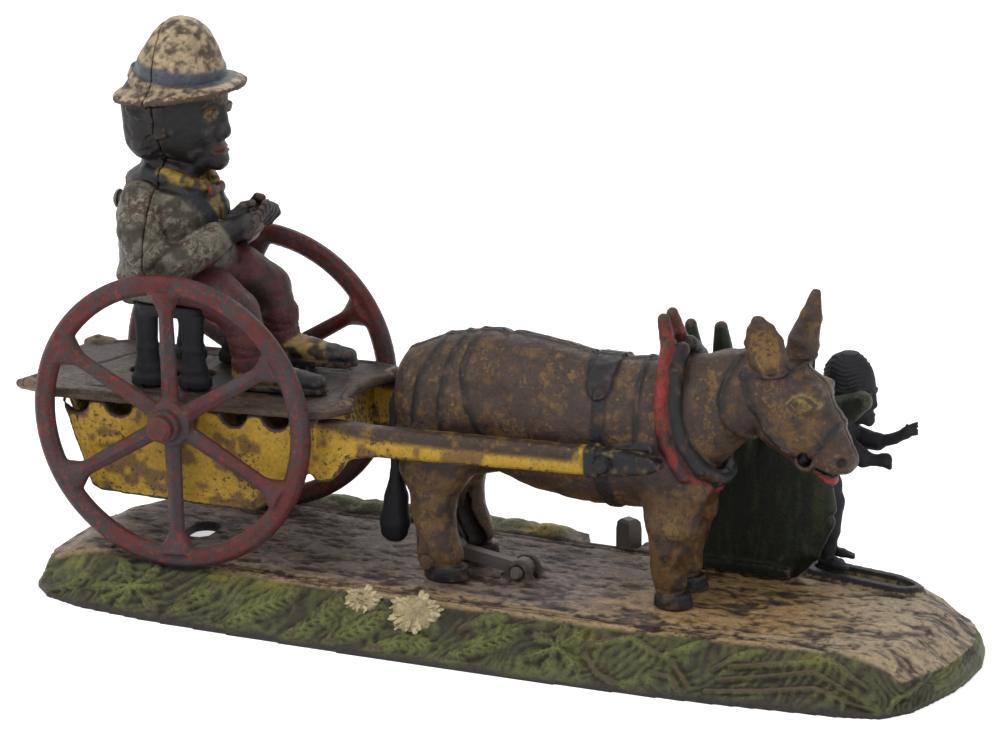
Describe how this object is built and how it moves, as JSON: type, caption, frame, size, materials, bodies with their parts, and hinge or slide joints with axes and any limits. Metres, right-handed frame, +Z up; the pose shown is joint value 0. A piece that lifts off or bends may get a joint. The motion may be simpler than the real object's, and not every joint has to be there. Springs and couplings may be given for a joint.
{
  "type": "mechanical bank",
  "caption": "Painted cast iron mechanical bank: a driver on a tipping two-wheeled cart behind a donkey, with a bush that hides a sliding boy.",
  "frame": {"origin": "bottom centre of the outer box of the whole part at rest, on the plane that the base stands on", "axes": "+X along the base towards the donkey's head, +Y away from the side with the grass bank, +Z up"},
  "size_m": [0.2674, 0.0848, 0.1585],
  "materials": {
    "road": "worn paint over cast iron",
    "wheel_red": "worn dark red enamel",
    "cart_yellow": "worn yellow enamel",
    "deck_brown": "worn dark brown paint",
    "black_enamel": "black enamel",
    "coat": "worn grey paint",
    "donkey_brown": "mottled brown enamel",
    "leaf_green": "dark green enamel",
    "bare_iron": "bare, darkened iron"
  },
  "bodies": {
    "base": {"base_casting": "road", "bush": "leaf_green", "bush_screw_1": "bare_iron", "bush_screw_2": "bare_iron", "link_pivot_pin": "bare_iron", "catch_pin": "bare_iron", "lever_screw": "bare_iron", "lever_spring": "bare_iron", "spring_screw": "bare_iron"},
    "cart": {"axle": "wheel_red", "cart_side_near": "cart_yellow", "cart_side_far": "cart_yellow", "coin_tray": "cart_yellow", "trap_screw": "bare_iron", "deck": "deck_brown", "seat": "black_enamel", "seat_screw_1": "bare_iron", "seat_screw_2": "bare_iron", "driver_front": "coat", "driver_back": "coat", "driver_rivet": "coat", "driver_screw": "bare_iron", "shaft_pin": "bare_iron"},
    "wheel_near": {"wheel_near": "wheel_red"},
    "wheel_far": {"wheel_far": "wheel_red"},
    "coin_trap": {"coin_trap": "black_enamel"},
    "donkey": {"donkey_near_half": "donkey_brown", "donkey_far_half": "donkey_brown", "donkey_tail": "black_enamel", "donkey_dowel_1": "bare_iron", "donkey_dowel_2": "bare_iron", "hoof_pin": "bare_iron"},
    "hoof_link": {"hoof_link": "bare_iron"},
    "catch": {"catch": "bare_iron"},
    "thumb_lever": {"thumb_lever": "bare_iron"},
    "boy": {"boy": "black_enamel", "boy_screw": "bare_iron", "slide_bar": "bare_iron"}
  },
  "joints": [
    {"name": "cart_tilt", "type": "hinge", "parent": "base", "child": "cart", "pos_m": [-0.08302, -0.00039, 0.054], "axis": [0, -1, 0], "range_deg": [0, 14]},
    {"name": "wheel_near_spin", "type": "hinge", "parent": "cart", "child": "wheel_near", "pos_m": [-0.08302, -0.00039, 0.054], "axis": [0, 1, 0], "continuous": true},
    {"name": "wheel_far_spin", "type": "hinge", "parent": "cart", "child": "wheel_far", "pos_m": [-0.08302, -0.00039, 0.054], "axis": [0, 1, 0], "continuous": true},
    {"name": "trap_turn", "type": "hinge", "parent": "cart", "child": "coin_trap", "pos_m": [-0.09456, -0.00039, 0.02973], "axis": [-0.0401, 0, 0.9992], "range_deg": [0, 90]},
    {"name": "donkey_rear", "type": "hinge", "parent": "cart", "child": "donkey", "pos_m": [0.0396, -0.00039, 0.05592], "axis": [0, -1, 0], "range_deg": [0, 2.6]},
    {"name": "link_swing", "type": "hinge", "parent": "base", "child": "hoof_link", "pos_m": [0.00768, -0.00039, 0.0156], "axis": [0, 1, 0], "range_deg": [0, 47]},
    {"name": "lever_press", "type": "hinge", "parent": "base", "child": "thumb_lever", "pos_m": [0.01668, 0.02361, 0.004], "axis": [0, 0, 1], "range_deg": [0, 30], "stiffness_Nm_per_rad": 0.08, "deforming": ["lever_spring"]},
    {"name": "boy_run", "type": "slide", "parent": "base", "child": "boy", "axis": [0.9829, -0.184, 0], "range_m": [0, 0.019]},
    {"name": "catch_trip", "type": "hinge", "parent": "base", "child": "catch", "pos_m": [0.01968, -0.00039, 0.0079], "axis": [0, -1, 0], "range_deg": [0, 3]}
  ],
  "couplings": [
    {"joint": "donkey_rear", "follows": "cart_tilt", "ratio": 0.184},
    {"joint": "link_swing", "follows": "cart_tilt", "ratio": 3.353},
    {"joint": "lever_press", "follows": "boy_run", "rad_per_m": 27.558},
    {"joint": "catch_trip", "follows": "boy_run", "rad_per_m": 2.7557}
  ]
}
